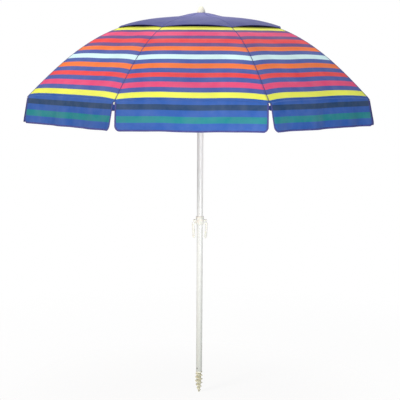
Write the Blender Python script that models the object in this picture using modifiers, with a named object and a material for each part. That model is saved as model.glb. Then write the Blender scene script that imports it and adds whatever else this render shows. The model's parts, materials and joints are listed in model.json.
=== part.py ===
"""A beach umbrella: sand auger, two-piece pole with fold-down handles, tilt joint, runner, eight ribs and canopy.

Metres, +Z up. The origin is the auger's tip, on the pole's axis. Panel 1 faces -Y, and the rest follow
anticlockwise as seen from above. Rib n is at the clockwise edge of panel n.
"""

from cmath import phase, rect
from math import atan2, cos, pi, radians, sin

import bmesh
import bpy
from mathutils import Matrix, Vector

GAP = 0.0003  # between neighbouring pieces

# Canopy and frame
RIBS = 8
STEP = 2 * pi / RIBS
FIRST_RIB = -pi / 2 - STEP / 2
PIVOT_R = 0.0265  # ring on which the ribs hinge at the crown, and the stretchers at the runner
CROWN_Z = 1.995
RIB_TIP_R = 0.900
RIB_TIP_Z = 1.5935
RIB_BEND = radians(40.5)  # how far the rib's direction turns between the crown and the tip
RIB_BEND_PEAK = 0.46  # share of the rib at which it bends most, near its stretcher
ROD_R = 0.0024
CLOTH_OFFSET = 0.0045  # from a rib's centre line out to the cloth's inner face
CLOTH = 0.0015
VENT_R = 0.16  # the panels start here, and the vent cap covers the opening
CAP_R = 0.437
CAP_TOP_Z = CROWN_Z + 0.0208  # underside of the cap's level middle
CAP_MIDDLE_R = 0.022  # the cap is level out to here, under the finial
CAP_LIFT = 0.0035  # from the panels up to the cap, at the ribs
CAP_VENT_LIFT = 0.012  # more of the same between the ribs, at the cap's hem
VALANCE_DROP = 0.130
VALANCE_FLARE = radians(9)
VALANCE_CORNER_R = 0.020
VALANCE_TIP_ROOM = 0.0064  # kept clear of each rib tip by the flap's upper corners

# Rib and stretcher joint
CLIP_SHARE = 0.40  # where the clip sits along the rib
CLIP_DROP = 0.009  # from the rod's centre line down to the stretcher's rivet
RUNNER_DROP = 0.27  # from the crown's pivots down to the runner's when open
TAB_R = 0.0046
TAB_T = 0.0024
PIN_R = 0.0011
WIRE_R = 0.0008
EYE_R = 0.0036
EYE_HOLE_R = 0.0012
EYE_W = 0.0044
SLOT_W = 0.0054
SLOT_IN = 0.0044  # from the wire in to a slot's inner end
WIRE_ROOM = 0.0013
FLANGE_R = 0.0345  # the crown's and the runner's slotted flanges

# Poles
POLE_R = 0.016
POLE_WALL = 0.0013
LOWER_BOTTOM_Z = 0.115
LOWER_TOP_Z = 0.9565
COLLAR_Z = (0.917, 0.960)
SPIGOT_R = 0.0138
SPIGOT_BOTTOM_Z = 0.64
TILT_Z = 1.53
TILT_PLUG = 0.046  # from the tilt pin's axis to the end of each knuckle's plug
TILT_LIP = 0.003
TILT_SHOULDER = 0.0125  # from the tilt pin's axis to the full-width part of each knuckle
TILT_LUG_R = 0.0100
TILT_EAR_T = 0.0068
TONGUE_T = 0.0100
TILT_PIN_R = 0.003
UPPER_TOP_Z = CROWN_Z + 0.010

# Handles
HINGE_X = 0.0305
HINGE_Z = 0.9345
HANDLE_TOP_X = 0.0355
HANDLE_LOW_X = 0.0310
HANDLE_BOTTOM_Z = 0.8420
HANDLE_R = 0.0078
ROOT_W = 0.0090  # the handle's root, between two cheeks of the collar
ROOT_R = 0.0072
CHEEK_T = 0.0032
CHEEK_R = 0.0075
TRUNNION_R = 0.0025

# Auger
AUGER_PITCH = 0.0205
AUGER_TURNS = 5
AUGER_CORE_R = 0.0125
AUGER_OUT_R = 0.0205
AUGER_TIP_R = 0.0025
AUGER_PLUG_Z = 0.160
SHOULDER_R = 0.0175
SHOULDER_BOTTOM_Z = LOWER_BOTTOM_Z - 0.0060
THREAD_TOP_Z = LOWER_BOTTOM_Z - 0.0105
THREAD_HALF_W = 0.30  # half the thread's width, as a share of its pitch
RIVET_R = 0.0016
RIVET_Z = 0.1335
RIVET_ANGLE = radians(-128)

# Buttons and catch
SNAP_Z = 0.9305
SNAP_R = 0.0040
TILT_BUTTON_Z = 1.465
TILT_BUTTON_R = 0.0045
CATCH_TOP_Z = 1.6528
CATCH_H = 0.022
CATCH_W = 0.006
CATCH_HINGE_Y = 0.0134

SEGMENTS = 24

for stale in list(bpy.data.objects):
    bpy.data.objects.remove(stale)

parts = bpy.data.collections.new("beach_umbrella")
cutters = bpy.data.collections.new("cutters")
bpy.context.scene.collection.children.link(parts)
bpy.context.scene.collection.children.link(cutters)


# Materials ---------------------------------------------------------------------------------------


def material(name, colour, roughness, metallic=0.0):
    made = bpy.data.materials.new(name)
    made.use_nodes = True
    shader = made.node_tree.nodes["Principled BSDF"]
    shader.inputs["Base Color"].default_value = (*colour, 1)
    shader.inputs["Roughness"].default_value = roughness
    shader.inputs["Metallic"].default_value = metallic
    return made


WHITE_TUBE = material("white_tube", (0.80, 0.80, 0.79), 0.35)
IVORY = material("ivory_plastic", (0.80, 0.78, 0.66), 0.45)
STEEL = material("steel", (0.55, 0.55, 0.56), 0.35, 1.0)
RIB_STEEL = material("rib_steel", (0.75, 0.75, 0.75), 0.4, 1.0)
STRIPED_CLOTH = material("striped_cloth", (0.10, 0.16, 0.45), 0.8)
NAVY_CLOTH = material("navy_cloth", (0.09, 0.10, 0.33), 0.8)


# Helpers -----------------------------------------------------------------------------------------


def add(name, mesh, look, collection=parts):
    made = bpy.data.objects.new(name, mesh)
    collection.objects.link(made)
    if look is not None and not mesh.materials:
        mesh.materials.append(look)
    return made


def smooth(made):
    made.data.shade_smooth()
    made.data.set_sharp_from_angle(angle=radians(35))


def evaluated_mesh(made):
    """A curve or a modified mesh as one welded mesh, in its own space. The object it came from is removed."""
    bpy.context.view_layer.update()
    seen = made.evaluated_get(bpy.context.evaluated_depsgraph_get())
    mesh = bpy.data.meshes.new_from_object(seen)
    work = bmesh.new()
    work.from_mesh(mesh)
    bmesh.ops.remove_doubles(work, verts=work.verts, dist=1e-6)
    work.to_mesh(mesh)
    work.free()
    bpy.data.objects.remove(made)
    return mesh


def profile_mesh(name, points, closed):
    mesh = bpy.data.meshes.new(name)
    count = len(points)
    edges = [(n, n + 1) for n in range(count - 1)]
    if closed:
        edges.append((count - 1, 0))
    mesh.from_pydata([(r, 0, z) for r, z in points], edges, [])
    return mesh


def turned(name, points, look, closed=False, segments=SEGMENTS, collection=parts):
    """A profile of (radius, height) turned about Z. An open one starts and ends on the axis."""
    profile = add(name + "_profile", profile_mesh(name, points, closed), None, collection)
    screw = profile.modifiers.new("turn", "SCREW")
    screw.steps = segments
    screw.render_steps = segments
    screw.use_merge_vertices = True
    screw.merge_threshold = 0.00005
    made = add(name, evaluated_mesh(profile), look, collection)
    smooth(made)
    return made


def tube_profile(outer, inner, low, high):
    return [(outer, high), (outer, low), (inner, low), (inner, high)]


def box(name, size, centre, look=None, collection=parts):
    mesh = bpy.data.meshes.new(name)
    work = bmesh.new()
    bmesh.ops.create_cube(work, size=1)
    bmesh.ops.scale(work, verts=work.verts, vec=size)
    work.to_mesh(mesh)
    work.free()
    made = add(name, mesh, look, collection)
    made.location = centre
    return made


def cylinder(name, radius, length, centre, axis, look=None, collection=parts, segments=16):
    """A capped cylinder of a given length about its centre, lying along axis."""
    mesh = bpy.data.meshes.new(name)
    work = bmesh.new()
    bmesh.ops.create_cone(
        work, cap_ends=True, segments=segments, radius1=radius, radius2=radius, depth=length
    )
    work.to_mesh(mesh)
    work.free()
    made = add(name, mesh, look, collection)
    smooth(made)
    made.rotation_mode = "QUATERNION"
    made.rotation_quaternion = Vector((0, 0, 1)).rotation_difference(Vector(axis))
    made.location = centre
    return made


def boolean(target, tool, operation):
    """Adds the tool to the target, or cuts it away. The tool stays as a hidden guide."""
    if tool.name not in cutters.objects:
        for owner in list(tool.users_collection):
            owner.objects.unlink(tool)
        cutters.objects.link(tool)
    tool.hide_render = True
    tool.display_type = "WIRE"
    step = target.modifiers.new(tool.name, "BOOLEAN")
    step.operation = operation
    step.object = tool
    step.solver = "EXACT"


def cut(target, *tools):
    for tool in tools:
        boolean(target, tool, "DIFFERENCE")


def join(target, *tools):
    for tool in tools:
        boolean(target, tool, "UNION")


def rod(name, points, radius, look, bevel_resolution=1):
    """A round rod through points, with filled ends, as a mesh object."""
    curve = bpy.data.curves.new(name, "CURVE")
    curve.dimensions = "3D"
    curve.bevel_depth = radius
    curve.bevel_resolution = bevel_resolution
    curve.use_fill_caps = True
    line = curve.splines.new("POLY")
    line.points.add(len(points) - 1)
    for place, point in zip(line.points, points):
        place.co = (*point, 1)
    shape = bpy.data.objects.new(name + "_curve", curve)
    parts.objects.link(shape)
    mesh = evaluated_mesh(shape)
    mesh.name = name
    made = add(name, mesh, look)
    smooth(made)
    return made


def plate(name, outline, thickness, look=None):
    """A flat outline of (x, z) points, standing in the XZ plane with its thickness along Y."""
    curve = bpy.data.curves.new(name, "CURVE")
    curve.dimensions = "2D"
    curve.fill_mode = "BOTH"
    curve.extrude = thickness / 2
    line = curve.splines.new("POLY")
    line.use_cyclic_u = True
    line.points.add(len(outline) - 1)
    for place, (x, y) in zip(line.points, outline):
        place.co = (x, y, 0, 1)
    shape = bpy.data.objects.new(name + "_curve", curve)
    parts.objects.link(shape)
    mesh = evaluated_mesh(shape)
    mesh.name = name
    mesh.transform(Matrix.Rotation(pi / 2, 4, "X"))
    return add(name, mesh, look)


def finished(made, look, name):
    """The object with its modifiers applied, as a mesh that copies can share."""
    mesh = evaluated_mesh(made)
    mesh.name = name
    mesh.materials.clear()
    mesh.materials.append(look)
    return mesh


def carry(name, place, *nodes):
    """An empty on a joint's axis, which carries the pieces that move about it."""
    joint = bpy.data.objects.new(name, None)
    joint.empty_display_size = 0.02
    parts.objects.link(joint)
    joint.location = place
    for node in nodes:
        made = bpy.data.objects[node]
        made.parent = joint
        made.matrix_parent_inverse = Matrix.Translation(-Vector(place))


def rib_angle(n):
    return FIRST_RIB + (n - 1) * STEP


def panel_angle(n):
    return rib_angle(n) + STEP / 2


# The rib's line, in the plane of one rib: x is the distance from the pole's axis, y the height --------

CROWN_PIVOT = Vector((PIVOT_R, CROWN_Z))
RIB_STEPS = 400


def bend_share(share):
    """How much of the whole bend lies between the crown and a share of the rib's length."""
    if share < RIB_BEND_PEAK:
        return max(0.0, share) ** 2 / RIB_BEND_PEAK
    return 1 - max(0.0, 1 - share) ** 2 / (1 - RIB_BEND_PEAK)


def rib_line():
    """The bent rod's centre line, as complex numbers whose real part is x, in even steps to the tip."""
    line = [0j]
    for n in range(RIB_STEPS):
        line.append(line[-1] + rect(1, -RIB_BEND * bend_share((n + 0.5) / RIB_STEPS)))
    start = complex(*CROWN_PIVOT)
    fit = (complex(RIB_TIP_R, RIB_TIP_Z) - start) / line[-1]
    return [start + fit * point for point in line], phase(fit)


RIB_LINE, RIB_START_ANGLE = rib_line()


def rib_direction(share):
    angle = RIB_START_ANGLE - RIB_BEND * bend_share(share)
    return Vector((cos(angle), sin(angle)))


def rib_point(share, out=0.0):
    """A point along the rib, 0 at the crown and 1 at the tip, moved out from the rib's centre line."""
    step = min(RIB_STEPS - 1, max(0, int(share * RIB_STEPS)))
    point = RIB_LINE[step] + (share * RIB_STEPS - step) * (RIB_LINE[step + 1] - RIB_LINE[step])
    along = rib_direction(share)
    return Vector((point.real - along.y * out, point.imag + along.x * out))


def cloth_share(radius):
    """How far along the rib the cloth's inner face is at this distance from the pole's axis."""
    low, high = -0.05, 1.0
    for _ in range(30):
        middle = (low + high) / 2
        if rib_point(middle, CLOTH_OFFSET).x < radius:
            low = middle
        else:
            high = middle
    return low


CLIP = rib_point(CLIP_SHARE, -CLIP_DROP)
RUNNER_PIVOT = Vector((PIVOT_R, CROWN_Z - RUNNER_DROP))


def in_plane(point, side=0.0):
    return Vector((point.x, side, point.y))


# Ribs --------------------------------------------------------------------------------------------


def rib_mesh():
    """Rod, with a barrel eye for the crown's wire and a clip with a drilled tab for the stretcher."""
    start, end, count = 0.003, 0.985, 9
    shares = [start + (end - start) * n / count for n in range(count + 1)]
    body = rod("rib_rod", [in_plane(rib_point(s)) for s in shares], ROD_R, None)
    side = Vector((0, 1, 0))
    eye = cylinder("rib_eye", EYE_R, EYE_W, in_plane(CROWN_PIVOT), side, segments=10)
    grip = rod(
        "rib_clip",
        [in_plane(rib_point(CLIP_SHARE + s)) for s in (-0.010, 0.010)],
        ROD_R + 0.0012,
        None,
    )
    tab = cylinder("rib_tab", TAB_R, TAB_T, in_plane(CLIP), side, segments=10)
    neck_middle = in_plane((CLIP + rib_point(CLIP_SHARE)) / 2)
    neck = box("rib_neck", (0.0064, TAB_T - 0.0002, CLIP_DROP), neck_middle)
    lean = rib_direction(CLIP_SHARE)
    neck.rotation_euler = (0, atan2(-lean.y, lean.x), 0)
    join(body, eye, grip, neck, tab)
    eye_hole = cylinder(
        "rib_eye_hole", EYE_HOLE_R, 2 * EYE_W, in_plane(CROWN_PIVOT), side, segments=6
    )
    tab_hole = cylinder(
        "rib_tab_hole", PIN_R + 0.0004, 2 * EYE_W, in_plane(CLIP), side, segments=6
    )
    cut(body, eye_hole, tab_hole)
    return finished(body, RIB_STEEL, "rib")


def stretcher_mesh():
    """Rod from the runner's wire to the clip, where its fork straddles the tab and carries the rivet."""
    along = (CLIP - RUNNER_PIVOT).normalized()
    side = Vector((0, 1, 0))
    ear_t = 0.0014
    ear_y = TAB_T / 2 + GAP + ear_t / 2
    body = rod(
        "stretcher_rod",
        [in_plane(RUNNER_PIVOT + along * 0.002), in_plane(CLIP - along * 0.0105)],
        ROD_R - 0.0002,
        None,
    )
    eye = cylinder("stretcher_eye", EYE_R, EYE_W, in_plane(RUNNER_PIVOT), side, segments=10)
    bridge_w = 2 * (ear_y + ear_t / 2) + 0.0004
    bridge = box(
        "stretcher_bridge", (0.0060, bridge_w, 0.0056), in_plane(CLIP - along * 0.0095)
    )
    bridge.rotation_euler = (0, atan2(-along.y, along.x), 0)
    join(body, eye, bridge)
    for sign in (-1, 1):
        name = "left" if sign < 0 else "right"
        ear = box(
            "stretcher_ear_" + name,
            (0.0090, ear_t, 0.0054),
            in_plane(CLIP - along * 0.0045, sign * ear_y),
        )
        ear.rotation_euler = bridge.rotation_euler
        round_end = cylinder(
            "stretcher_round_" + name,
            0.0034,
            ear_t - 0.0001,
            in_plane(CLIP, sign * ear_y),
            side,
            segments=8,
        )
        join(body, ear, round_end)
    rivet = cylinder(
        "stretcher_rivet", PIN_R, bridge_w + 0.0010, in_plane(CLIP), side, segments=6
    )
    join(body, rivet)
    hole = cylinder(
        "stretcher_eye_hole", EYE_HOLE_R, 2 * EYE_W, in_plane(RUNNER_PIVOT), side, segments=6
    )
    cut(body, hole)
    return finished(body, RIB_STEEL, "stretcher")


def rib_tip_mesh():
    """Plastic cap over the rib's outer end, with a rounded nose."""
    root = rib_point(0.988)
    nose = rib_point(1.0) + rib_direction(1.0) * 0.006
    length = (nose - root).length
    cap_r = 0.0040
    made = turned(
        "rib_tip_shape",
        [
            (0, length),
            (cap_r * 0.55, length - 0.0008),
            (cap_r * 0.95, length - 0.0030),
            (cap_r, length - 0.0050),
            (cap_r * 0.85, 0),
            (0, 0),
        ],
        None,
        segments=10,
    )
    mesh = finished(made, IVORY, "rib_tip")
    way = in_plane(nose - root).normalized()
    turn = Vector((0, 0, 1)).rotation_difference(way).to_matrix().to_4x4()
    mesh.transform(Matrix.Translation(in_plane(root)) @ turn)
    return mesh


def copies_round(name, mesh):
    """Eight objects that share one mesh made in the XZ plane, each at its own rib, turned about the pole."""
    for n in range(1, RIBS + 1):
        made = add(f"{name}_{n}", mesh, None)
        made.rotation_euler = (0, 0, rib_angle(n))


# Cloth -------------------------------------------------------------------------------------------


def cloth_sheet(name, rows, look):
    """A sheet of quads through rows of points, thickened outwards."""
    mesh = bpy.data.meshes.new(name)
    points = [p for row in rows for p in row]
    wide = len(rows[0])
    faces = []
    for i in range(len(rows) - 1):
        for j in range(wide - 1):
            at = i * wide + j
            faces.append((at, at + wide, at + wide + 1, at + 1))
    mesh.from_pydata(points, [], faces)
    made = add(name, mesh, look)
    shell = made.modifiers.new("thickness", "SOLIDIFY")
    shell.thickness = CLOTH
    shell.offset = 1
    return made


def panel_row(radius, height, inset, count=1):
    """A straight line across one panel at this rib radius, with its ends kept off the rib planes."""
    middle = radius * cos(STEP / 2)
    half = radius * sin(STEP / 2) - inset
    return [Vector((middle, -half + 2 * half * n / count, height)) for n in range(count + 1)]


def gore_mesh():
    """One panel from the vent opening to the hem, its middle along +X."""
    count = 9
    rows = []
    for n in range(count + 1):
        radius = VENT_R + (RIB_TIP_R - VENT_R) * n / count
        rows.append(panel_row(radius, rib_point(cloth_share(radius), CLOTH_OFFSET).y, 0.0004))
    return finished(cloth_sheet("gore_sheet", rows, STRIPED_CLOTH), STRIPED_CLOTH, "gore")


def valance_mesh():
    """One flap that hangs from a panel's hem, with rounded lower corners, flared out a little."""
    hem = rib_point(cloth_share(RIB_TIP_R), CLOTH_OFFSET)
    half_top = RIB_TIP_R * sin(STEP / 2) - VALANCE_TIP_ROOM
    outline = [(half_top, 0.0)]
    corner_steps = 4
    for sign in (1, -1):
        for n in range(corner_steps + 1):
            turn = (n if sign > 0 else corner_steps - n) / corner_steps * pi / 2
            x = half_top - VALANCE_CORNER_R + VALANCE_CORNER_R * cos(turn)
            y = -VALANCE_DROP + VALANCE_CORNER_R - VALANCE_CORNER_R * sin(turn)
            outline.append((sign * x, y))
    outline.append((-half_top, 0.0))
    mesh = finished(plate("valance_flap", outline, CLOTH), STRIPED_CLOTH, "valance")
    stand = Matrix.Rotation(pi / 2, 4, "Z")
    flare = Matrix.Rotation(-VALANCE_FLARE, 4, "Y")
    place = Vector((RIB_TIP_R * cos(STEP / 2), 0, hem.y - 0.0012))
    mesh.transform(Matrix.Translation(place) @ flare @ stand)
    return mesh


def vent_cap():
    """The small upper canopy over the vent opening: eight flat facets, higher between the ribs at its hem."""
    hole = 0.0048
    stations = (hole, CAP_MIDDLE_R, 0.075, 0.16, 0.30, CAP_R)
    across = 2
    mesh = bpy.data.meshes.new("vent_cap")
    points, faces = [], []
    wide = RIBS * across
    for i, radius in enumerate(stations):
        line = rib_point(cloth_share(max(radius, 0.06)), CLOTH_OFFSET).y + CLOTH
        blend = min(1.0, max(0.0, (radius - CAP_MIDDLE_R) / 0.10))
        blend = blend * blend * (3 - 2 * blend)
        for n in range(1, RIBS + 1):
            for j in range(across):
                share = j / across
                side = (2 * share - 1) * radius * sin(STEP / 2)
                middle = radius * cos(STEP / 2)
                between = 1 - (2 * share - 1) ** 2
                lift = CAP_LIFT + CAP_VENT_LIFT * between * (radius / CAP_R) ** 2
                level = CAP_TOP_Z - 0.0010 * radius / CAP_MIDDLE_R
                z = level * (1 - blend) + (line + lift) * blend
                turn = Matrix.Rotation(panel_angle(n), 3, "Z")
                points.append(turn @ Vector((middle, side, z)))
        if i:
            for j in range(wide):
                here = (i - 1) * wide
                after = (j + 1) % wide
                faces.append((here + j, here + wide + j, here + wide + after, here + after))
    mesh.from_pydata(points, [], faces)
    made = add("vent_cap", mesh, NAVY_CLOTH)
    shell = made.modifiers.new("thickness", "SOLIDIFY")
    shell.thickness = CLOTH
    shell.offset = 1


def cloth():
    gore = gore_mesh()
    valance = valance_mesh()
    for n in range(1, RIBS + 1):
        for name, mesh in (("gore", gore), ("valance", valance)):
            made = add(f"{name}_{n}", mesh, None)
            made.rotation_euler = (0, 0, panel_angle(n))
    vent_cap()


# Crown, runner and their wires ---------------------------------------------------------------------


def slots(target, name, pivot_z, inner, low, high):
    """Eight radial slots for the eyes, open outwards."""
    for n in range(1, RIBS + 1):
        length = 0.020
        slot = box(f"{name}_slot_{n}", (length, SLOT_W, high - low), (0, 0, 0))
        middle = inner + length / 2
        angle = rib_angle(n)
        slot.location = (middle * cos(angle), middle * sin(angle), (low + high) / 2)
        slot.rotation_euler = (0, 0, angle)
        cut(target, slot)
    groove = turned(
        f"{name}_groove",
        tube_profile(PIVOT_R + WIRE_ROOM, PIVOT_R - WIRE_ROOM, low - 0.001, pivot_z + 0.0012),
        None,
        closed=True,
        segments=SEGMENTS,
        collection=cutters,
    )
    cut(target, groove)


def wire_ring(name, height):
    mesh = bpy.data.meshes.new(name)
    work = bmesh.new()
    around = 24
    section = 5
    for i in range(around):
        a = 2 * pi * i / around
        for j in range(section):
            b = 2 * pi * j / section
            r = PIVOT_R + WIRE_R * cos(b)
            work.verts.new((r * cos(a), r * sin(a), WIRE_R * sin(b)))
    work.verts.ensure_lookup_table()
    for i in range(around):
        for j in range(section):
            corner = [
                i * section + j,
                ((i + 1) % around) * section + j,
                ((i + 1) % around) * section + (j + 1) % section,
                i * section + (j + 1) % section,
            ]
            work.faces.new([work.verts[c] for c in corner])
    work.to_mesh(mesh)
    work.free()
    made = add(name, mesh, STEEL)
    made.location = (0, 0, height)


def crown():
    base = CROWN_Z - 0.0070
    rim = CROWN_Z + 0.0068
    top = CROWN_Z + 0.0200
    hub = turned(
        "crown_hub",
        [
            (0.0155, top),
            (0.0195, rim + 0.002),
            (0.0330, rim),
            (FLANGE_R, rim - 0.002),
            (FLANGE_R, base),
            (POLE_R + GAP, base),
            (POLE_R + GAP, UPPER_TOP_Z + GAP),
            (0.0040, UPPER_TOP_Z + GAP),
            (0.0040, top),
        ],
        IVORY,
        closed=True,
    )
    slots(hub, "crown", CROWN_Z, PIVOT_R - SLOT_IN, base - 0.001, CROWN_Z + 0.0048)
    wire_ring("crown_wire", CROWN_Z)
    base_z = CAP_TOP_Z + CLOTH + 2 * GAP
    height = 0.038
    turned(
        "finial",
        [
            (0, base_z + height),
            (0.0030, base_z + height - 0.0010),
            (0.0085, base_z + height - 0.0060),
            (0.0150, base_z + height - 0.0145),
            (0.0198, base_z + height - 0.0240),
            (0.0222, base_z + height - 0.0315),
            (0.0225, base_z + height - 0.0350),
            (0.0215, base_z),
            (0.0036, base_z),
            (0.0036, UPPER_TOP_Z + 0.0010),
            (0, UPPER_TOP_Z + 0.0010),
        ],
        IVORY,
        segments=20,
    )


def runner():
    z = RUNNER_PIVOT.y
    bore = POLE_R + 0.0010
    body = turned(
        "runner",
        [
            (0.0195, z + 0.0110),
            (0.0210, z + 0.0095),
            (0.0215, z + 0.0068),
            (0.0330, z + 0.0062),
            (FLANGE_R, z + 0.0045),
            (FLANGE_R, z - 0.0050),
            (0.0330, z - 0.0065),
            (0.0225, z - 0.0080),
            (0.0210, z - 0.0130),
            (0.0215, z - 0.0620),
            (0.0265, z - 0.0665),
            (0.0260, z - 0.0715),
            (bore, z - 0.0715),
            (bore, z + 0.0110),
        ],
        IVORY,
        closed=True,
    )
    slots(body, "runner", z, PIVOT_R - SLOT_IN, z - 0.0090, z + 0.0080)
    wire_ring("runner_wire", z)


# Poles, tilt joint and buttons ---------------------------------------------------------------------


def knuckle_ends(name, facing, z_shoulder, z_plug):
    """The turned part of a tilt knuckle: a full-width shoulder and a plug inside the tube."""
    plug_r = POLE_R - POLE_WALL - GAP
    points = [
        (0, z_shoulder),
        (POLE_R, z_shoulder),
        (POLE_R, z_shoulder + facing * TILT_LIP),
        (plug_r, z_shoulder + facing * TILT_LIP),
        (plug_r, z_plug),
        (0, z_plug),
    ]
    if facing > 0:
        points.reverse()
    return turned(name, points, IVORY)


def lug(name, reach, thickness, side):
    """A flat lug round the tilt pin: a half disc with straight legs, reaching down or up into a shoulder."""
    turns = [n * pi / 8 for n in range(9)]
    way = -1 if reach > 0 else 1
    outline = [(TILT_LUG_R * cos(t), way * TILT_LUG_R * sin(t)) for t in turns]
    outline += [(-TILT_LUG_R, reach), (TILT_LUG_R, reach)]
    made = plate(name, outline, thickness)
    made.location = (0, side, TILT_Z)
    return made


def tilt_joint():
    root = TILT_SHOULDER + 0.0015
    slot_half = TONGUE_T / 2 + GAP
    ear_y = slot_half + TILT_EAR_T / 2
    lower = knuckle_ends("tilt_lower", -1, TILT_Z - TILT_SHOULDER, TILT_Z - TILT_PLUG)
    for sign, side in ((-1, "front"), (1, "back")):
        join(lower, lug(f"tilt_ear_{side}", -root, TILT_EAR_T, sign * ear_y))
    upper = knuckle_ends("tilt_upper", 1, TILT_Z + TILT_SHOULDER, TILT_Z + TILT_PLUG)
    join(upper, lug("tilt_tongue", root, TONGUE_T, 0))
    across = Vector((0, 1, 0))
    axis = Vector((0, 0, TILT_Z))
    for target, name in ((lower, "lower"), (upper, "upper")):
        cut(target, cylinder(f"tilt_hole_{name}", TILT_PIN_R + GAP, 0.060, axis, across, segments=12))
    pin_length = 2 * (slot_half + TILT_EAR_T) + 0.0006
    cylinder("tilt_pin", TILT_PIN_R, pin_length, axis, across, STEEL)


def pole_hole(target, name, radius, height, angle):
    """A hole through one wall of a tube, at an angle about the pole."""
    way = Vector((cos(angle), sin(angle), 0))
    hole = cylinder(name, radius, 0.024, way * 0.018 + Vector((0, 0, height)), way, segments=10)
    cut(target, hole)


def poles():
    inner = POLE_R - POLE_WALL
    lower = turned(
        "lower_pole",
        tube_profile(POLE_R, inner, LOWER_BOTTOM_Z, LOWER_TOP_Z),
        WHITE_TUBE,
        closed=True,
    )
    pole_hole(lower, "rivet_hole_pole", RIVET_R + GAP, RIVET_Z, RIVET_ANGLE)
    pole_hole(lower, "snap_hole_pole", SNAP_R + 0.0004, SNAP_Z, pi / 2)
    shoulder = COLLAR_Z[1] + GAP
    bore = SPIGOT_R - POLE_WALL
    top = TILT_Z - TILT_SHOULDER - TILT_LIP - GAP
    middle = turned(
        "middle_pole",
        [
            (POLE_R, top),
            (POLE_R, shoulder),
            (SPIGOT_R, shoulder),
            (SPIGOT_R, SPIGOT_BOTTOM_Z),
            (bore, SPIGOT_BOTTOM_Z),
            (bore, shoulder + 0.004),
            (inner, shoulder + 0.006),
            (inner, top),
        ],
        WHITE_TUBE,
        closed=True,
    )
    pole_hole(middle, "snap_hole_spigot", SNAP_R + 0.0004, SNAP_Z, pi / 2)
    pole_hole(middle, "tilt_button_hole", TILT_BUTTON_R + 0.0004, TILT_BUTTON_Z, -pi / 2)
    upper = turned(
        "upper_pole",
        tube_profile(POLE_R, inner, TILT_Z + TILT_SHOULDER + TILT_LIP + GAP, UPPER_TOP_Z),
        WHITE_TUBE,
        closed=True,
    )
    slot = box(
        "catch_slot",
        (CATCH_W + 0.0008, 0.012, CATCH_H + 0.0030),
        (0, POLE_R - 0.001, CATCH_TOP_Z - CATCH_H / 2),
    )
    cut(upper, slot)


def buttons():
    """The sprung snap button, the tilt release and the wedge catch that holds the runner up."""
    snap = turned(
        "snap_button",
        [
            (0, 0.0095),
            (SNAP_R * 0.7, 0.0090),
            (SNAP_R, 0.0075),
            (SNAP_R, -0.0032),
            (0.0056, -0.0032),
            (0.0056, -0.0046),
            (0, -0.0046),
        ],
        STEEL,
        segments=12,
    )
    snap.location = (0, SPIGOT_R - 0.0002, SNAP_Z)
    snap.rotation_euler = (-pi / 2, 0, 0)
    press = turned(
        "tilt_button",
        [
            (0, 0.0004),
            (TILT_BUTTON_R * 0.75, 0.0003),
            (TILT_BUTTON_R, -0.0003),
            (TILT_BUTTON_R, -0.0030),
            (0.0062, -0.0030),
            (0.0062, -0.0045),
            (0, -0.0045),
        ],
        IVORY,
        segments=12,
    )
    press.location = (0, -POLE_R, TILT_BUTTON_Z)
    press.rotation_euler = (pi / 2, 0, 0)
    runner_catch()


def runner_catch():
    """A wedge leaf: hinged low inside the pole, its top edge stands out under the runner."""
    outline = [
        (0.0118, -CATCH_H),
        (0.0150, -CATCH_H),
        (0.0222, -0.0016),
        (0.0210, 0.0),
        (0.0118, 0.0),
    ]
    catch = plate("runner_catch", [(x, z + CATCH_H) for x, z in outline], CATCH_W, STEEL)
    catch.location = (0, 0, CATCH_TOP_Z - CATCH_H)
    catch.rotation_euler = (0, 0, pi / 2)


# Collar, handles and auger -------------------------------------------------------------------------


def handle_collar():
    low, high = COLLAR_Z
    collar = turned(
        "handle_collar",
        [
            (0.0188, high),
            (0.0200, high - 0.0020),
            (0.0206, high - 0.0100),
            (0.0220, high - 0.0180),
            (0.0226, low + 0.0060),
            (0.0218, low + 0.0015),
            (0.0198, low),
            (POLE_R + GAP, low),
            (POLE_R + GAP, LOWER_TOP_Z + GAP),
            (SPIGOT_R + GAP, LOWER_TOP_Z + GAP),
            (SPIGOT_R + GAP, high),
        ],
        IVORY,
        closed=True,
    )
    for sign, side in ((-1, "left"), (1, "right")):
        for row, end in ((-1, "front"), (1, "back")):
            y = row * (ROOT_W / 2 + GAP + CHEEK_T / 2)
            web = box(
                f"cheek_{side}_{end}",
                (HINGE_X - 0.0185, CHEEK_T, 2 * CHEEK_R),
                (sign * (HINGE_X + 0.0185) / 2, y, HINGE_Z),
            )
            boss = cylinder(
                f"boss_{side}_{end}",
                CHEEK_R,
                CHEEK_T,
                (sign * HINGE_X, y, HINGE_Z),
                (0, 1, 0),
                segments=12,
            )
            join(collar, web, boss)
        hole = cylinder(
            f"trunnion_hole_{side}",
            TRUNNION_R + 0.0004,
            0.030,
            (sign * HINGE_X, 0, HINGE_Z),
            (0, 1, 0),
            segments=10,
        )
        well = cylinder(
            f"root_well_{side}",
            ROOT_R + 2 * GAP,
            ROOT_W + 2 * GAP,
            (sign * HINGE_X, 0, HINGE_Z),
            (0, 1, 0),
            segments=12,
        )
        cut(collar, well, hole)
    hole = cylinder(
        "snap_hole_collar", SNAP_R + 0.0006, 0.024, (0, 0.018, SNAP_Z), (0, 1, 0), segments=10
    )
    cut(collar, hole)


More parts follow.
